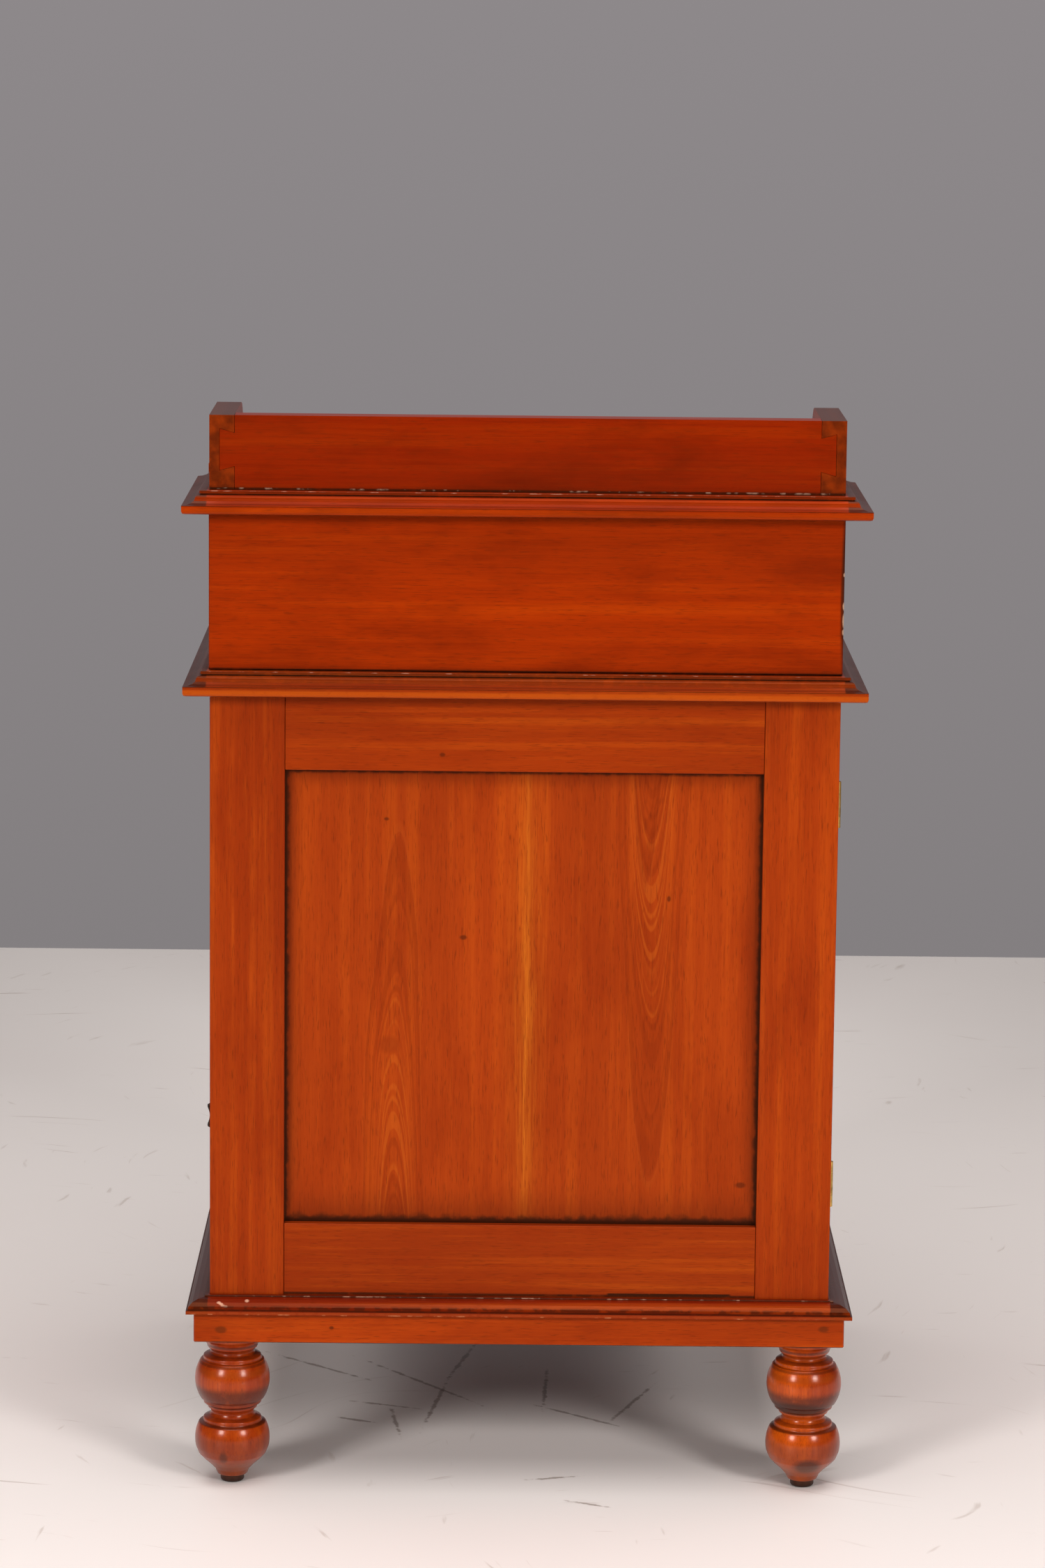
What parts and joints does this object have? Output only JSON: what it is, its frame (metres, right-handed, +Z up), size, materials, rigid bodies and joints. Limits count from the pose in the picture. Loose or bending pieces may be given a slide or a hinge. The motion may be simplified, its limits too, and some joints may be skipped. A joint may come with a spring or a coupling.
{
  "type": "davenport desk",
  "caption": "Pedestal writing desk with a sliding sloped-lid box, a low gallery, side drawers, a side cupboard and turned feet.",
  "frame": {"origin": "on the floor, at the bottom centre of the whole desk's bounding box", "axes": "+X to the user's right, -Y towards the user, +Z up; the picture looks at the +Y side"},
  "size_m": [0.5526, 0.5396, 0.889],
  "materials": {
    "mahogany": "stained and waxed mahogany, warm orange red, satin to gloss",
    "panel_wood": "stained and waxed mahogany panel, slightly lighter",
    "turned_wood": "turned and polished dark red-brown mahogany",
    "drawer_wood": "waxed mahogany front, paler sides",
    "nest_wood": "waxed mahogany",
    "lining_wood": "plain unpolished secondary wood",
    "hinge_brass": "dulled brass",
    "knob_brass": "turned brass, worn",
    "lock_iron": "dark iron with a brown patina",
    "lid_leather": "green writing leather, satin"
  },
  "bodies": {
    "pedestal": {"foot_back_left": "turned_wood", "foot_back_right": "turned_wood", "foot_front_left": "turned_wood", "foot_front_right": "turned_wood", "plinth_rail_back": "mahogany", "plinth_frame": "mahogany", "plinth_moulding": "mahogany", "pedestal_bottom": "mahogany", "back_stile_left": "mahogany", "back_stile_right": "mahogany", "back_rail_top": "mahogany", "back_rail_bottom": "mahogany", "back_panel": "panel_wood", "front_frame": "mahogany", "front_panel": "panel_wood", "partition": "lining_wood", "drawer_divider_1": "mahogany", "drawer_divider_2": "mahogany", "drawer_divider_3": "mahogany", "case_top": "mahogany", "waist_board": "mahogany", "cupboard_shelf": "lining_wood", "door_hinge_upper_case_leaf": "hinge_brass", "door_hinge_lower_case_leaf": "hinge_brass"},
    "cupboard_door": {"door_frame": "mahogany", "door_panel": "panel_wood", "door_knob": "knob_brass", "door_hinge_upper_door_leaf": "hinge_brass", "door_hinge_lower_door_leaf": "hinge_brass"},
    "top_drawer": {"drawer_1": "drawer_wood", "drawer_1_knob": "knob_brass"},
    "second_drawer": {"drawer_2": "drawer_wood", "drawer_2_knob": "knob_brass"},
    "third_drawer": {"drawer_3": "drawer_wood", "drawer_3_knob": "knob_brass"},
    "lowest_drawer": {"drawer_4": "drawer_wood", "drawer_4_knob": "knob_brass", "drawer_lock": "lock_iron"},
    "bolt": {"lock_bolt": "hinge_brass"},
    "turning_key": {"key": "lock_iron"},
    "writing_box": {"box_bottom": "lining_wood", "box_back": "mahogany", "box_front": "mahogany", "box_side_left": "mahogany", "box_side_right": "mahogany", "top_board": "mahogany", "gallery_back": "mahogany", "gallery_side_left": "mahogany", "gallery_side_right": "mahogany", "nest_left": "nest_wood", "nest_right": "nest_wood", "lid_hinge_left_top_leaf": "hinge_brass", "lid_hinge_right_top_leaf": "hinge_brass"},
    "lid": {"lid_board": "mahogany", "lid_leather": "lid_leather", "lid_ledge": "mahogany", "lid_hinge_left_lid_leaf": "hinge_brass", "lid_hinge_right_lid_leaf": "hinge_brass"},
    "small_drawer_left": {"inner_drawer_left": "nest_wood"},
    "small_drawer_right": {"inner_drawer_right": "nest_wood"}
  },
  "joints": [
    {"name": "box_slide", "type": "slide", "parent": "pedestal", "child": "writing_box", "axis": [0, -1, 0], "range_m": [0, 0.155]},
    {"name": "lid_hinge", "type": "hinge", "parent": "writing_box", "child": "lid", "pos_m": [0, 0.0489, 0.8294], "axis": [-1, 0, 0], "range_deg": [0, 158]},
    {"name": "door_hinge", "type": "hinge", "parent": "pedestal", "child": "cupboard_door", "pos_m": [-0.2551, 0.2264, 0.415], "axis": [0, 0, -1], "range_deg": [0, 110]},
    {"name": "top_drawer_slide", "type": "slide", "parent": "pedestal", "child": "top_drawer", "axis": [1, 0, 0], "range_m": [0, 0.2]},
    {"name": "second_drawer_slide", "type": "slide", "parent": "pedestal", "child": "second_drawer", "axis": [1, 0, 0], "range_m": [0, 0.2]},
    {"name": "third_drawer_slide", "type": "slide", "parent": "pedestal", "child": "third_drawer", "axis": [1, 0, 0], "range_m": [0, 0.2]},
    {"name": "lowest_drawer_slide", "type": "slide", "parent": "pedestal", "child": "lowest_drawer", "axis": [1, 0, 0], "range_m": [0, 0.2]},
    {"name": "bolt_throw", "type": "slide", "parent": "lowest_drawer", "child": "bolt", "axis": [0, 0, 1], "range_m": [0, 0.005]},
    {"name": "key_turn", "type": "hinge", "parent": "lowest_drawer", "child": "turning_key", "pos_m": [0.2547, 0, 0.2547], "axis": [1, 0, 0], "range_deg": [0, 90]},
    {"name": "small_drawer_left_slide", "type": "slide", "parent": "writing_box", "child": "small_drawer_left", "axis": [0, -1, 0], "range_m": [0, 0.13]},
    {"name": "small_drawer_right_slide", "type": "slide", "parent": "writing_box", "child": "small_drawer_right", "axis": [0, -1, 0], "range_m": [0, 0.13]}
  ],
  "couplings": [
    {"joint": "key_turn", "follows": "bolt_throw", "rad_per_m": 314.16}
  ]
}
